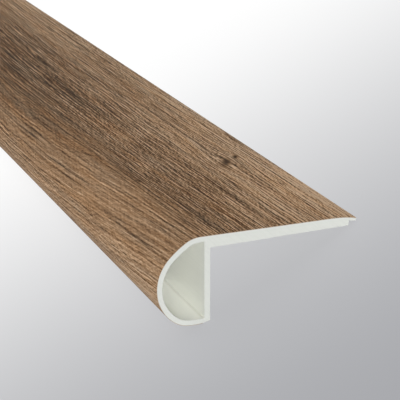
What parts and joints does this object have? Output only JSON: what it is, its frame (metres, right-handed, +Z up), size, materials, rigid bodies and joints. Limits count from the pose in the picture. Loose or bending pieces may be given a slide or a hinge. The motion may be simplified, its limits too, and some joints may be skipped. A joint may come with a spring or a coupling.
{
  "type": "flush stair nosing",
  "caption": "Length of flush stair nosing: a hollow vinyl bullnose with a tread flange and eased back lip, wrapped in wood-print film.",
  "frame": {"origin": "middle of the stock's footprint on the floor, halfway along its length, as it lies unheld", "axes": "+Y along the stock's length, +X from the bullnose towards the lip, +Z up; the section lies tipped back by 26.8 degrees, on the sole's back corner and the lip's tip"},
  "size_m": [0.0701, 2, 0.0283],
  "materials": {
    "vinyl": "off-white rigid vinyl, satin",
    "wood_print": "brown wood-grain print, low sheen"
  },
  "bodies": {
    "root": {"vinyl_extrusion": "vinyl", "wood_film": "wood_print"}
  },
  "joints": []
}
